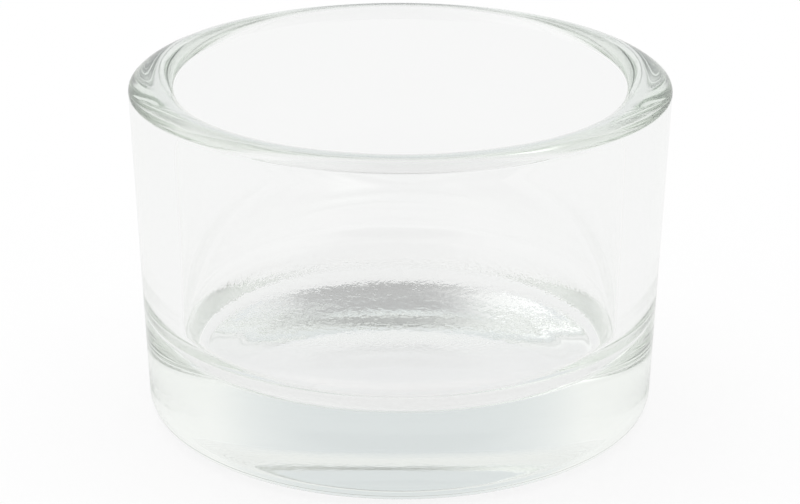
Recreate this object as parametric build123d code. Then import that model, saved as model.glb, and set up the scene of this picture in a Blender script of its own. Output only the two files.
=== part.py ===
from build123d import *
from math import radians, sqrt, tan
import os

# A clear pressed-glass candle bowl: a solid of revolution about Z, standing on the plane Z = 0.
# All lengths are in millimetres and the draft is in degrees.

# The outside, as the mould forms it
RIM_DIAMETER = 60.0  # over the outer edge of the rim
BASE_DIAMETER = 57.2  # where the outer wall would meet the table without its rounded heel
HEIGHT = 39.0  # from the table to the crest of the rim
HEEL_RADIUS = 2.5  # rounding between the outer wall and the underside

# The rim, melted smooth after pressing
RIM_WALL = 5.0  # glass between the rim's outer and inner edge
RIM_CROWN = 1.0  # rise of the crest above those two edges
RIM_EDGE_RADIUS = 0.5  # softening where the crown runs into the walls

# The inside, as the plunger presses it
CAVITY_DRAFT = 1.2  # lean of the inner wall, which lets the plunger out
FLOOR_THICKNESS = 5.4  # glass on the axis, between the underside and the floor of the cavity
FLOOR_DISH = 4.4  # rise of the dished floor from the axis to the foot of the inner wall
FLOOR_CORNER_RADIUS = 4.9  # rounding between the floor and the inner wall

# The underside
BEARING_RING_WIDTH = 4.9  # flat ring that stands on the table, inside the heel
PUSH_UP = 0.41  # hollow of the underside inside that ring, which keeps the bowl from rocking
RING_EDGE_RADIUS = 4.0  # softening of the ring's inner edge


def cap_depth(half_span, rise, distance):
    """Depth below the pole of a shallow spherical cap, at a distance from its axis."""
    sphere_radius = (half_span**2 + rise**2) / (2 * rise)
    return sphere_radius - sqrt(sphere_radius**2 - distance**2)


def rounded(outline, corner, radius):
    """The outline with the corner nearest to a given point rounded off."""
    nearest = outline.vertices().sort_by_distance(corner)[0]
    return fillet(nearest, radius)


def glass_section():
    """Half of the bowl cut through its axis, drawn with radius along X and height along Y."""
    rim_radius = RIM_DIAMETER / 2
    base_radius = BASE_DIAMETER / 2
    mouth_radius = rim_radius - RIM_WALL
    ring_radius = base_radius - HEEL_RADIUS - BEARING_RING_WIDTH
    edge_height = HEIGHT - RIM_CROWN
    floor_height = PUSH_UP + FLOOR_THICKNESS
    corner_height = floor_height + FLOOR_DISH
    corner_radius = mouth_radius - (edge_height - corner_height) * tan(radians(CAVITY_DRAFT))

    underside = (0, PUSH_UP)
    ring_edge = (ring_radius, 0)
    heel = (base_radius, 0)
    outer_edge = (rim_radius, edge_height)
    crest = ((rim_radius + mouth_radius) / 2, HEIGHT)
    inner_edge = (mouth_radius, edge_height)
    floor_corner = (corner_radius, corner_height)
    floor = (0, floor_height)
    underside_middle = (ring_radius / 2, PUSH_UP - cap_depth(ring_radius, PUSH_UP, ring_radius / 2))
    floor_middle = (corner_radius / 2, floor_height + cap_depth(corner_radius, FLOOR_DISH, corner_radius / 2))

    outline = make_face(
        Curve()
        + [
            ThreePointArc(underside, underside_middle, ring_edge),
            Line(ring_edge, heel),
            Line(heel, outer_edge),
            ThreePointArc(outer_edge, crest, inner_edge),
            Line(inner_edge, floor_corner),
            ThreePointArc(floor_corner, floor_middle, floor),
            Line(floor, underside),
        ]
    )
    outline = rounded(outline, ring_edge, RING_EDGE_RADIUS)
    outline = rounded(outline, heel, HEEL_RADIUS)
    outline = rounded(outline, outer_edge, RIM_EDGE_RADIUS)
    outline = rounded(outline, inner_edge, RIM_EDGE_RADIUS)
    return rounded(outline, floor_corner, FLOOR_CORNER_RADIUS)


def glass_bowl():
    """The bowl: its section turned once round the axis."""
    return revolve(Plane.XZ * glass_section(), Axis.Z)


bowl = glass_bowl()
bowl.label = "glass_bowl"
print(f"glass_bowl: {bowl.volume / 1000:.1f} cubic centimetres of glass, {bowl.bounding_box().size}")

os.makedirs("parts", exist_ok=True)
export_step(bowl, "parts/glass_bowl.step")
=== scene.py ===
# %% [markdown]
# # A candle bowl of thick, clear, pressed glass
# The whole object is one body of glass, so this lesson is about what makes glass look real: a true
# section with the right thickness everywhere, surfaces that aren't quite smooth, a faint colour that
# only shows where light travels far, and surroundings for the glass to bend and mirror.
# The CAD model is loaded first, as a frame that fixes the size and the place of everything.

import math

import bmesh
import bpy
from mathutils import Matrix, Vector, noise


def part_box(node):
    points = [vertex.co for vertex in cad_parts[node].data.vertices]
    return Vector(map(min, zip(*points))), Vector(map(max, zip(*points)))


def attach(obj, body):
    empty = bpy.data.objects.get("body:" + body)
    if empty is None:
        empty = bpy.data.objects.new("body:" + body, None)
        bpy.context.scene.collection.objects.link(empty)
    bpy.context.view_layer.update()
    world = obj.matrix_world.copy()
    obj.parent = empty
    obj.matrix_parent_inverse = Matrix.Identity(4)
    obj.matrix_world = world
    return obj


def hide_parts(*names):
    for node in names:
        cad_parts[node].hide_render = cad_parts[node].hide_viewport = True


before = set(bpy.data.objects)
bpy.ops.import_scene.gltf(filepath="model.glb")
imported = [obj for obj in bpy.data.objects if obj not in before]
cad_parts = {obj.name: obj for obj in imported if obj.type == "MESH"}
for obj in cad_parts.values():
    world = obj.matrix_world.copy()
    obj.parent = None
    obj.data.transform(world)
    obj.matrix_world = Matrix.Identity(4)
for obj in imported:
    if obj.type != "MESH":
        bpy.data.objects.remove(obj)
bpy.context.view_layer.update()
low_corner, high_corner = (Vector(corner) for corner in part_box("glass_bowl"))
print("nodes of the frame:", list(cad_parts))
print("CAD bowl, metres:", [round(side, 5) for side in high_corner - low_corner])

# %% [markdown]
# ## The camera
# The rim's ellipse, the curve of the base and the lean of the wall fix where the viewer stood: a bit
# under 30 cm away and 13 cm up, looking down at about 21 degrees through a long lens. A lens is
# written in millimetres on a 36 mm sensor, so a focal length found in pixels is turned into those.

# %% Camera
PICTURE_WIDTH = 800
SENSOR_WIDTH = 36.0
FOCAL_PIXELS = 2722.2
VIEWPOINT = (0.0, -0.2870, 0.1301)
VIEW_DOWN = math.radians(21.367)
VIEW_ROLL = math.radians(0.13)
NEAREST_SEEN = 0.01

camera_data = bpy.data.cameras.new("camera")
camera_data.sensor_width = SENSOR_WIDTH
camera_data.lens = FOCAL_PIXELS * SENSOR_WIDTH / PICTURE_WIDTH
camera_data.clip_start = NEAREST_SEEN
camera = bpy.data.objects.new("camera", camera_data)
camera.location = VIEWPOINT
camera.rotation_euler = (math.pi / 2 - VIEW_DOWN, 0.0, 0.0)
camera.rotation_euler.rotate_axis("Z", VIEW_ROLL)
bpy.context.scene.collection.objects.link(camera)
bpy.context.scene.camera = camera
print("camera lens, mm:", round(camera_data.lens, 1))

# %% [markdown]
# ## Nodes written as Python
# Shader networks get long, so one small class wraps a node's output. Sums and products of such
# outputs add Math nodes, and every other node comes from its add method: settings first, because
# they can change which sockets a node has, and then the values or links of those sockets.


# %% A node output that can be used in expressions
class Signal:
    """One output of a shader node."""

    def __init__(self, tree, socket=None):
        self.tree = tree
        self.socket = socket

    def add(self, kind, settings=None, inputs=None, output=0):
        """Adds a node with its settings and inputs, and wraps one of its outputs."""
        node = self.tree.nodes.new(kind)
        for name, value in (settings or {}).items():
            setattr(node, name, value)
        for name, value in (inputs or {}).items():
            if isinstance(value, Signal):
                value.into(node.inputs[name])
            else:
                node.inputs[name].default_value = value
        return Signal(self.tree, node.outputs[output])

    def into(self, socket):
        """Links this output to an input."""
        self.tree.links.new(self.socket, socket)

    def sibling(self, name):
        """Another output of the same node."""
        return Signal(self.tree, self.socket.node.outputs[name])

    def maths(self, operation, first, second):
        """Adds a Math node."""
        return self.add("ShaderNodeMath", {"operation": operation}, {0: first, 1: second})

    def larger(self, other):
        """The larger of two outputs."""
        return self.maths("MAXIMUM", self, other)

    def ease(self, start, end):
        """A soft step from 0 at start to 1 at end."""
        steps = {"Value": self, "From Min": start, "From Max": end, "To Min": 0.0, "To Max": 1.0}
        return self.add("ShaderNodeMapRange", {"interpolation_type": "SMOOTHSTEP"}, steps)

    def __add__(self, other):
        return self.maths("ADD", self, other)

    __radd__ = __add__

    def __mul__(self, other):
        return self.maths("MULTIPLY", self, other)

    __rmul__ = __mul__

    def __rsub__(self, other):
        return self.maths("SUBTRACT", other, self)

    def __pow__(self, other):
        return self.maths("POWER", self, other)


print("node helper ready:", Signal.__name__)

# %% [markdown]
# ## The section of the bowl
# A pressed bowl is a shape of revolution: the mould forms the outside and a plunger the inside, and
# afterwards the rim is melted smooth. What the eye reads as glass is mostly the section, because it
# decides where light is bent and where it is trapped. The floor is dished and runs into the wall in
# a rounded corner, the underside is a shallow hollow inside a flat ring, and the rim's crest is domed.
# The height comes from the frame, and the rest repeats the CAD section.

# %% Sizes, in metres
MM = 0.001
HEIGHT = high_corner.z - low_corner.z
RIM_RADIUS = 30.0 * MM
BASE_RADIUS = 28.6 * MM
HEEL_RADIUS = 2.5 * MM
MOUTH_RADIUS = 25.0 * MM
RIM_CROWN = 1.0 * MM
RIM_EDGE_RADIUS = 0.5 * MM
CAVITY_DRAFT = math.radians(1.2)
FLOOR_HEIGHT = 5.81 * MM
FLOOR_DISH_RADIUS = 69.954 * MM
FLOOR_CORNER_RADIUS = 4.9 * MM
RING_RADIUS = 21.2 * MM
PUSH_UP = 0.41 * MM
print("glass under the floor, mm:", round((FLOOR_HEIGHT - PUSH_UP) / MM, 2))

# %% [markdown]
# A section could be a bevelled curve, but curves keep their arcs only roughly, and in glass a flat spot
# shows as a streak. So a wire is grown from its tip: straight runs are extruded and arcs are spun, which
# keeps every radius true.


# %% Drawing tools
def spot(radius, height):
    """A point of the section."""
    return Vector((radius, 0.0, height))


class SectionWire:
    """A wire that grows from its tip, with the radius along X and the height along Z."""

    def __init__(self, bm, start):
        self.bm = bm
        self.tip = bm.verts.new(start)

    def run(self, end, steps):
        """Extrudes the tip to a point in equal steps."""
        stride = (end - self.tip.co) / steps
        for _ in range(steps):
            made = bmesh.ops.extrude_vert_indiv(self.bm, verts=[self.tip])
            bmesh.ops.translate(self.bm, verts=made["verts"], vec=stride)
            self.tip = made["verts"][0]

    def arc(self, end, centre, steps):
        """Spins the tip about a centre until it lies towards a point."""
        here, there = self.tip.co - centre, end - centre
        angle = math.atan2(here.z * there.x - here.x * there.z, here.dot(there))
        made = bmesh.ops.spin(
            self.bm, geom=[self.tip], cent=centre, axis=(0, 1, 0), angle=angle, steps=steps
        )
        self.tip = next(part for part in made["geom_last"] if isinstance(part, bmesh.types.BMVert))


def corner_rounding(corner, before, after, radius):
    """Start, end and centre of the arc that rounds a corner between two straight runs."""
    back, on = (before - corner).normalized(), (after - corner).normalized()
    half = back.angle(on) / 2
    reach = radius / math.tan(half)
    centre = corner + (back + on).normalized() * radius / math.sin(half)
    return corner + back * reach, corner + on * reach, centre


def nestled_arc(bow_centre, bow_radius, foot, along, across, radius):
    """Touch on the wall, touch on the bow and centre of an arc between a wall and a wider bow.

    The wall is straight and passes through foot, and the arc lies across from it, further along.
    """
    start = foot + across * radius - bow_centre
    ahead = start.dot(along)
    reach = math.sqrt(ahead**2 - start.length_squared + (bow_radius - radius) ** 2) - ahead
    centre = bow_centre + start + along * reach
    bow_touch = bow_centre + (centre - bow_centre).normalized() * bow_radius
    return centre - across * radius, bow_touch, centre


print("section tools ready:", SectionWire.__name__)

# %% [markdown]
# The heel rounds a plain corner. The rim's edges and the foot of the inner wall lie between a straight
# wall and a wide bow, which have no simple corner, so those arcs are set by touching both.

# %% Where the runs and arcs of the section meet
edge_height = HEIGHT - RIM_CROWN
hollow_bow = (RING_RADIUS**2 + PUSH_UP**2) / (2 * PUSH_UP)
half_rim = (RIM_RADIUS - MOUTH_RADIUS) / 2
crown_bow = (half_rim**2 + RIM_CROWN**2) / (2 * RIM_CROWN)
crown_centre = spot(MOUTH_RADIUS + half_rim, HEIGHT - crown_bow)
dish_centre = spot(0.0, FLOOR_HEIGHT + FLOOR_DISH_RADIUS)
base_corner = spot(BASE_RADIUS, 0.0)
outer_rim = spot(RIM_RADIUS, edge_height)
mouth_edge = spot(MOUTH_RADIUS, edge_height)
outer_rise = (outer_rim - base_corner).normalized()
outer_inward = Vector((-outer_rise.z, 0.0, outer_rise.x))
inner_rise = Vector((math.sin(CAVITY_DRAFT), 0.0, math.cos(CAVITY_DRAFT)))
inner_outward = Vector((inner_rise.z, 0.0, -inner_rise.x))

heel_start, heel_end, heel_centre = corner_rounding(
    base_corner, spot(RING_RADIUS, 0.0), outer_rim, HEEL_RADIUS
)
outer_touch, outer_crown, outer_edge = nestled_arc(
    crown_centre, crown_bow, base_corner, outer_rise, outer_inward, RIM_EDGE_RADIUS
)
inner_touch, inner_crown, inner_edge = nestled_arc(
    crown_centre, crown_bow, mouth_edge - inner_rise * half_rim, inner_rise, inner_outward, RIM_EDGE_RADIUS
)
wall_foot, floor_foot, corner_centre = nestled_arc(
    dish_centre, FLOOR_DISH_RADIUS, mouth_edge, -inner_rise, -inner_outward, FLOOR_CORNER_RADIUS
)
print("floor curve starts at radius, mm:", round(floor_foot.x / MM, 2))

# %% [markdown]
# The wire goes from the middle of the underside out over the ring, up the wall, over the rim and down to
# the middle of the floor. Each stretch has as many steps as its curve and its ripples need.

# %% Draw the section
UNDERSIDE_STEPS = 22
RING_STEPS = 8
HEEL_STEPS = 14
OUTER_WALL_STEPS = 30
EDGE_STEPS = 4
CROWN_STEPS = 14
INNER_WALL_STEPS = 20
CORNER_STEPS = 26
FLOOR_STEPS = 54

glass = bmesh.new()
wire = SectionWire(glass, spot(0.0, PUSH_UP))
wire.arc(spot(RING_RADIUS, 0.0), spot(0.0, PUSH_UP - hollow_bow), UNDERSIDE_STEPS)
wire.run(heel_start, RING_STEPS)
wire.arc(heel_end, heel_centre, HEEL_STEPS)
wire.run(outer_touch, OUTER_WALL_STEPS)
wire.arc(outer_crown, outer_edge, EDGE_STEPS)
wire.arc(inner_crown, crown_centre, CROWN_STEPS)
wire.arc(inner_touch, inner_edge, EDGE_STEPS)
wire.run(wall_foot, INNER_WALL_STEPS)
wire.arc(floor_foot, corner_centre, CORNER_STEPS)
wire.arc(spot(0.0, FLOOR_HEIGHT), dish_centre, FLOOR_STEPS)
print("section:", len(glass.verts), "points")

# %% [markdown]
# ## Turning the section
# A Screw modifier could turn the section, but one full spin leaves a plain mesh that can be dented
# afterwards. The two ends of the wire lie on the axis, where the spin leaves a heap of vertices, so
# doubles are merged before the normals are made to point outwards.

# %% Spin
AROUND = 288
SAME_POINT = 0.001 * MM
CUBIC_CM = 1e-6

bmesh.ops.spin(
    glass,
    geom=glass.verts[:] + glass.edges[:],
    cent=(0, 0, 0),
    axis=(0, 0, 1),
    angle=2 * math.pi,
    steps=AROUND,
    use_merge=True,
)
bmesh.ops.remove_doubles(glass, verts=glass.verts, dist=SAME_POINT)
bmesh.ops.recalc_face_normals(glass, faces=glass.faces)
print("turned bowl:", len(glass.verts), "vertices,", round(glass.calc_volume() / CUBIC_CM, 1), "cubic cm")

# %% [markdown]
# ## Hand of the press
# Perfect surfaces give glass away as a model. The plunger is colder than the mould, so the floor and the
# foot of the wall chill into fine ripples, while the outside is smooth with a slow wave and the melted
# rim is a little uneven. The underside stays true.


# %% Waves and ripples, each with its width and its depth
RIM_MARKS = (6.0 * MM, 0.03 * MM)
OUTER_MARKS = (11.0 * MM, 0.02 * MM)
INNER_MARKS = (9.0 * MM, 0.04 * MM)
COARSE_RIPPLE = (2.4 * MM, 0.012 * MM)
FINE_RIPPLE = (1.2 * MM, 0.006 * MM)
RIM_BAND = 0.5 * MM
INNER_MARGIN = 1.0 * MM
CHILL_TOP = 7.0 * MM
CHILL_FADE = 9.0 * MM


def dent(point, marks):
    """Depth of a dent at a point, from 0 to the full depth, for lumps about one wave wide."""
    wave, depth = marks
    return depth * (0.5 + 0.5 * noise.noise(point / wave))


def press_marks(point):
    """How far the surface lies under the ideal section at a point."""
    if point.z > edge_height - RIM_BAND:
        return dent(point, RIM_MARKS)
    if math.hypot(point.x, point.y) > MOUTH_RADIUS + INNER_MARGIN:
        return dent(point, OUTER_MARKS)
    if point.z < FLOOR_HEIGHT - INNER_MARGIN:
        return 0.0
    chill = 1.0 - min(1.0, max(0.0, (point.z - CHILL_TOP) / CHILL_FADE))
    return dent(point, INNER_MARKS) + chill * (dent(point, COARSE_RIPPLE) + dent(point, FINE_RIPPLE))


glass.normal_update()
moves = [(vert, vert.normal * -press_marks(vert.co)) for vert in glass.verts]
for vert, move in moves:
    vert.co += move
print("deepest mark, mm:", round(max(move.length for _, move in moves) / MM, 3))

# %% [markdown]
# ## A piece of the model
# The mesh becomes an object that rides on the bowl's one body. It stands for the CAD solid, which has the
# same section and stays hidden, and it gets its glass finish below.

# %% Make the bowl a piece of the model
for face in glass.faces:
    face.smooth = True
glass_mesh = bpy.data.meshes.new("pressed_bowl")
glass.to_mesh(glass_mesh)
glass.free()
pressed_bowl = bpy.data.objects.new("pressed_bowl", glass_mesh)
bpy.context.scene.collection.objects.link(pressed_bowl)
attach(pressed_bowl, "root")
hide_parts("glass_bowl")
print("pressed_bowl:", len(glass_mesh.polygons), "faces")

# %% [markdown]
# ## Clear glass
# A Principled shader with full transmission bends light as soda glass does. Its Base Color stays white,
# because it would tint each surface alike. The faint green belongs to the depth of the glass, so it
# comes from Volume Absorption and gathers where light runs far, as in the ends of the rim.

# %% Glass that bends and tints light
GLASS_IOR = 1.52
GLASS_TINT = (0.18, 0.38, 0.13, 1.0)
TINT_DENSITY = 2.4

clear_glass = bpy.data.materials.new("clear_glass")
clear_glass.use_nodes = True
glass_nodes = clear_glass.node_tree
glass_shader = glass_nodes.nodes["Principled BSDF"]
glass_shader.inputs["Base Color"].default_value = (1.0, 1.0, 1.0, 1.0)
glass_shader.inputs["Transmission Weight"].default_value = 1.0
glass_shader.inputs["IOR"].default_value = GLASS_IOR
glass_shader.inputs["Roughness"].default_value = 0.0
tint = Signal(glass_nodes).add(
    "ShaderNodeVolumeAbsorption", inputs={"Color": GLASS_TINT, "Density": TINT_DENSITY}
)
tint.into(glass_nodes.nodes["Material Output"].inputs["Volume"])
glass_mesh.materials.append(clear_glass)
print("glass bends light by an index of", GLASS_IOR)

# %% [markdown]
# The finest ripple is too small for the mesh and is a bump. The plunger left it on the far half of the
# floor, strongest towards the rounded corner, and it fades on the way up the wall. So a mask is
# made from Object coordinates: inside the mouth, above the underside, far back and low down.

# %% The chilled skin of the floor
FLOOR_RIPPLE = 0.045 * MM
CORNER_RIPPLE = 0.1 * MM
CORNER_ZONE = (11.0 * MM, 16.0 * MM)
MOUTH_ZONE = (25.3 * MM, 25.8 * MM)
UNDERSIDE_ZONE = (3.0 * MM, 4.0 * MM)
FAR_ZONE = (-2.0 * MM, 8.0 * MM)
WALL_ZONE = (9.0 * MM, 12.0 * MM)
PEEL = {"Scale": 1400.0, "Detail": 2.0}

place = Signal(glass_nodes).add("ShaderNodeTexCoord", output="Object")
across = place.add("ShaderNodeSeparateXYZ", inputs={0: place}, output="X")
along, up = across.sibling("Y"), across.sibling("Z")
from_axis = (across * across + along * along) ** 0.5
inside = (1.0 - from_axis.ease(*MOUTH_ZONE)) * up.ease(*UNDERSIDE_ZONE)
chilled = inside * along.ease(*FAR_ZONE) * (1.0 - up.ease(*WALL_ZONE))
ripple_depth = chilled * (FLOOR_RIPPLE + CORNER_RIPPLE * from_axis.ease(*CORNER_ZONE))
orange_peel = place.add("ShaderNodeTexNoise", inputs={"Vector": place, **PEEL})
bump = {"Height": orange_peel * ripple_depth, "Strength": 1.0, "Distance": 1.0}
place.add("ShaderNodeBump", inputs=bump).into(glass_shader.inputs["Normal"])
print("glass material:", len(glass_nodes.nodes), "nodes")

# %% [markdown]
# ## The table
# A wide pale table, a hair under the bowl: glass that only rests on a table has air between, and that
# air is what makes the underside a mirror at low angles. A table in touch with the glass would kill it.

# %% Table top
AIR_UNDER_BOWL = 0.05 * MM
TABLE_RADIUS = 3.0
TABLE_SIDES = 96

table = bmesh.new()
bmesh.ops.create_circle(table, cap_ends=True, segments=TABLE_SIDES, radius=TABLE_RADIUS)
bmesh.ops.translate(table, verts=table.verts, vec=(0, 0, -AIR_UNDER_BOWL))
table_mesh = bpy.data.meshes.new("table")
table.to_mesh(table_mesh)
table.free()
table_top = bpy.data.objects.new("table", table_mesh)
bpy.context.scene.collection.objects.link(table_top)
print("table across, m:", round(table_top.dimensions.x, 2))

# %% [markdown]
# A table bright enough to be white would need light that washes out the bowl. Instead it glows a little,
# but only to the camera and to what the glass shows, and it lights nothing else. The part that doesn't
# glow still takes the bowl's shadow.

# %% Table finish
TABLE_COLOUR = (0.9, 0.9, 0.9, 1.0)
TABLE_ROUGHNESS = 0.7
TABLE_GLOW = 0.86
WHITE_IN_GLASS = 0.935

table_finish = bpy.data.materials.new("table_finish")
table_finish.use_nodes = True
table_nodes = table_finish.node_tree
table_shader = table_nodes.nodes["Principled BSDF"]
table_shader.inputs["Base Color"].default_value = TABLE_COLOUR
table_shader.inputs["Roughness"].default_value = TABLE_ROUGHNESS
lit = Signal(table_nodes, table_shader.outputs["BSDF"])
direct = lit.add("ShaderNodeLightPath", output="Is Camera Ray")
mirrored = direct.sibling("Is Glossy Ray")
seen_through = direct.sibling("Is Transmission Ray")
seen = direct.larger(mirrored.larger(seen_through))
whiteness = WHITE_IN_GLASS + (1.0 - WHITE_IN_GLASS) * direct
glow = lit.add("ShaderNodeEmission", inputs={"Color": whiteness})
surface = lit.add("ShaderNodeMixShader", inputs={0: seen * TABLE_GLOW, 1: lit, 2: glow})
surface.into(table_nodes.nodes["Material Output"].inputs["Surface"])
table_mesh.materials.append(table_finish)
print("table finish:", len(table_nodes.nodes), "nodes")

# %% [markdown]
# ## The studio
# Clear glass shows its surroundings, so these are the light. Big lamps and cards could stand round the
# bowl, but zones of the sky are simpler to move. A white tent all round lights everything evenly, with one
# brighter patch at the back left. The tent opens on the camera's side, which is dark, and overhead,
# which is dimmer, and their images in the underside draw the two grey bands on the floor of the bowl.
# Low at the back the tent is a touch greyer and bluer, and the thick base shows that as its panel.

# %% World with soft zones
studio = bpy.data.worlds.new("studio")
bpy.context.scene.world = studio
studio.use_nodes = True
studio_nodes = studio.node_tree
direction = Signal(studio_nodes).add("ShaderNodeTexCoord", output="Generated")


def zone(azimuth, elevation, reach, softness):
    """A soft round zone of the tent: azimuth 0 is behind the bowl and 180 is the camera's side."""
    turn, lift = math.radians(azimuth), math.radians(elevation)
    middle = (math.sin(turn) * math.cos(lift), math.cos(turn) * math.cos(lift), math.sin(lift))
    product = {"operation": "DOT_PRODUCT"}
    nearness = direction.add("ShaderNodeVectorMath", product, {0: direction, 1: middle}, "Value")
    fringe, core = math.radians(reach + softness), math.radians(max(0.0, reach - softness))
    return nearness.ease(math.cos(fringe), math.cos(core))


bright_patch = zone(azimuth=-46, elevation=55, reach=19, softness=8)
grey_back = zone(azimuth=0, elevation=25, reach=16, softness=19)
open_top = zone(azimuth=157, elevation=66, reach=32, softness=14)
camera_side = zone(azimuth=179, elevation=1, reach=34, softness=10)
top_gap = zone(azimuth=8, elevation=77, reach=13, softness=14)
print("zones of the tent:", len(studio_nodes.nodes), "nodes")

# %% Brightness and colour of the tent
TENT_LEVEL = 1.0
PATCH_EXTRA = 0.5
BACK_DIMMING = 0.17
TOP_DIMMING = 0.55
CAMERA_SIDE_DIMMING = 0.9
WHITE = (1.0, 1.0, 1.0, 1.0)
COOL_GREY = (0.96, 0.99, 1.02, 1.0)
# A Mix node has sockets for every kind of data, and these are the places of its colour sockets
MIX_FACTOR = 0
MIX_FIRST = 6
MIX_SECOND = 7
MIX_RESULT = 2

dimming = (BACK_DIMMING * grey_back).larger(TOP_DIMMING * open_top)
dimming = dimming.larger(CAMERA_SIDE_DIMMING * camera_side).larger(TOP_DIMMING * top_gap)
brightness = (TENT_LEVEL + PATCH_EXTRA * bright_patch) * (1.0 - dimming)
hues = {MIX_FACTOR: grey_back, MIX_FIRST: WHITE, MIX_SECOND: COOL_GREY}
hue = direction.add("ShaderNodeMix", {"data_type": "RGBA"}, hues, MIX_RESULT)
backdrop = studio_nodes.nodes["Background"]
hue.into(backdrop.inputs["Color"])
brightness.into(backdrop.inputs["Strength"])
print("studio:", len(studio_nodes.nodes), "nodes")

# %% [markdown]
# ## One soft lamp
# A broad lamp overhead brings the table to white and gives the bowl a soft shadow. The glass itself
# doesn't show the lamp, because a bright disc in a clear bowl would only distract.

# %% Overhead lamp
LAMP_ACROSS = 0.9
LAMP_WATTS = 3.2
LAMP_PLACE = (0.0, 0.1, 0.9)

lamp_data = bpy.data.lights.new("overhead_lamp", "AREA")
lamp_data.shape = "DISK"
lamp_data.size = LAMP_ACROSS
lamp_data.energy = LAMP_WATTS
lamp = bpy.data.objects.new("overhead_lamp", lamp_data)
lamp.location = LAMP_PLACE
lamp.visible_glossy = False
lamp.visible_transmission = False
bpy.context.scene.collection.objects.link(lamp)
print("overhead lamp, W:", lamp_data.energy)

# %% [markdown]
# ## Long paths of light
# In thick glass a ray may be mirrored a dozen times before it leaves. Blender counts each mirroring as a
# glossy bounce and gives up after four, which would leave black patches in the rim and the base, so the
# limits are raised.

# %% Light paths
BOUNCES = 32

light_paths = bpy.context.scene.cycles
light_paths.max_bounces = BOUNCES
light_paths.glossy_bounces = BOUNCES
light_paths.transmission_bounces = BOUNCES
print("bounces followed:", light_paths.max_bounces)

# %% [markdown]
# ## Finish
# Standard view keeps a colour as it is written.

bpy.context.scene.view_settings.view_transform = "Standard"
